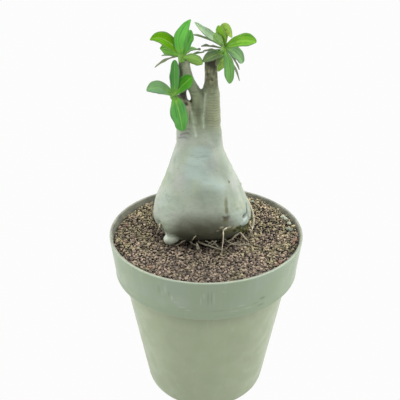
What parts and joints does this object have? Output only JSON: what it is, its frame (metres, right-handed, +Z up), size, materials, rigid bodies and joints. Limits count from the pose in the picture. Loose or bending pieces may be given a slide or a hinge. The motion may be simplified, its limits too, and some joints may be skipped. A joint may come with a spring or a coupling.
{
  "type": "potted desert rose",
  "caption": "Desert rose (adenium) with a swollen grey trunk and leafy stem tips, growing in grit in a round plastic nursery pot.",
  "frame": {"origin": "centre of the pot's flat base, on the surface it stands on", "axes": "+Z up, -Y towards the side that is looked at"},
  "size_m": [0.15, 0.15, 0.2987],
  "materials": {
    "pot_plastic": "matt, lightly scuffed",
    "grit": "rough mineral grains",
    "bark": "smooth waxy grey-green bark",
    "leaf": "satin, slightly glossy leaves"
  },
  "bodies": {
    "root": {"pot": "pot_plastic", "grit": "grit", "trunk": "bark", "crown_left": "leaf", "crown_right": "leaf", "crown_side": "leaf"}
  },
  "joints": []
}
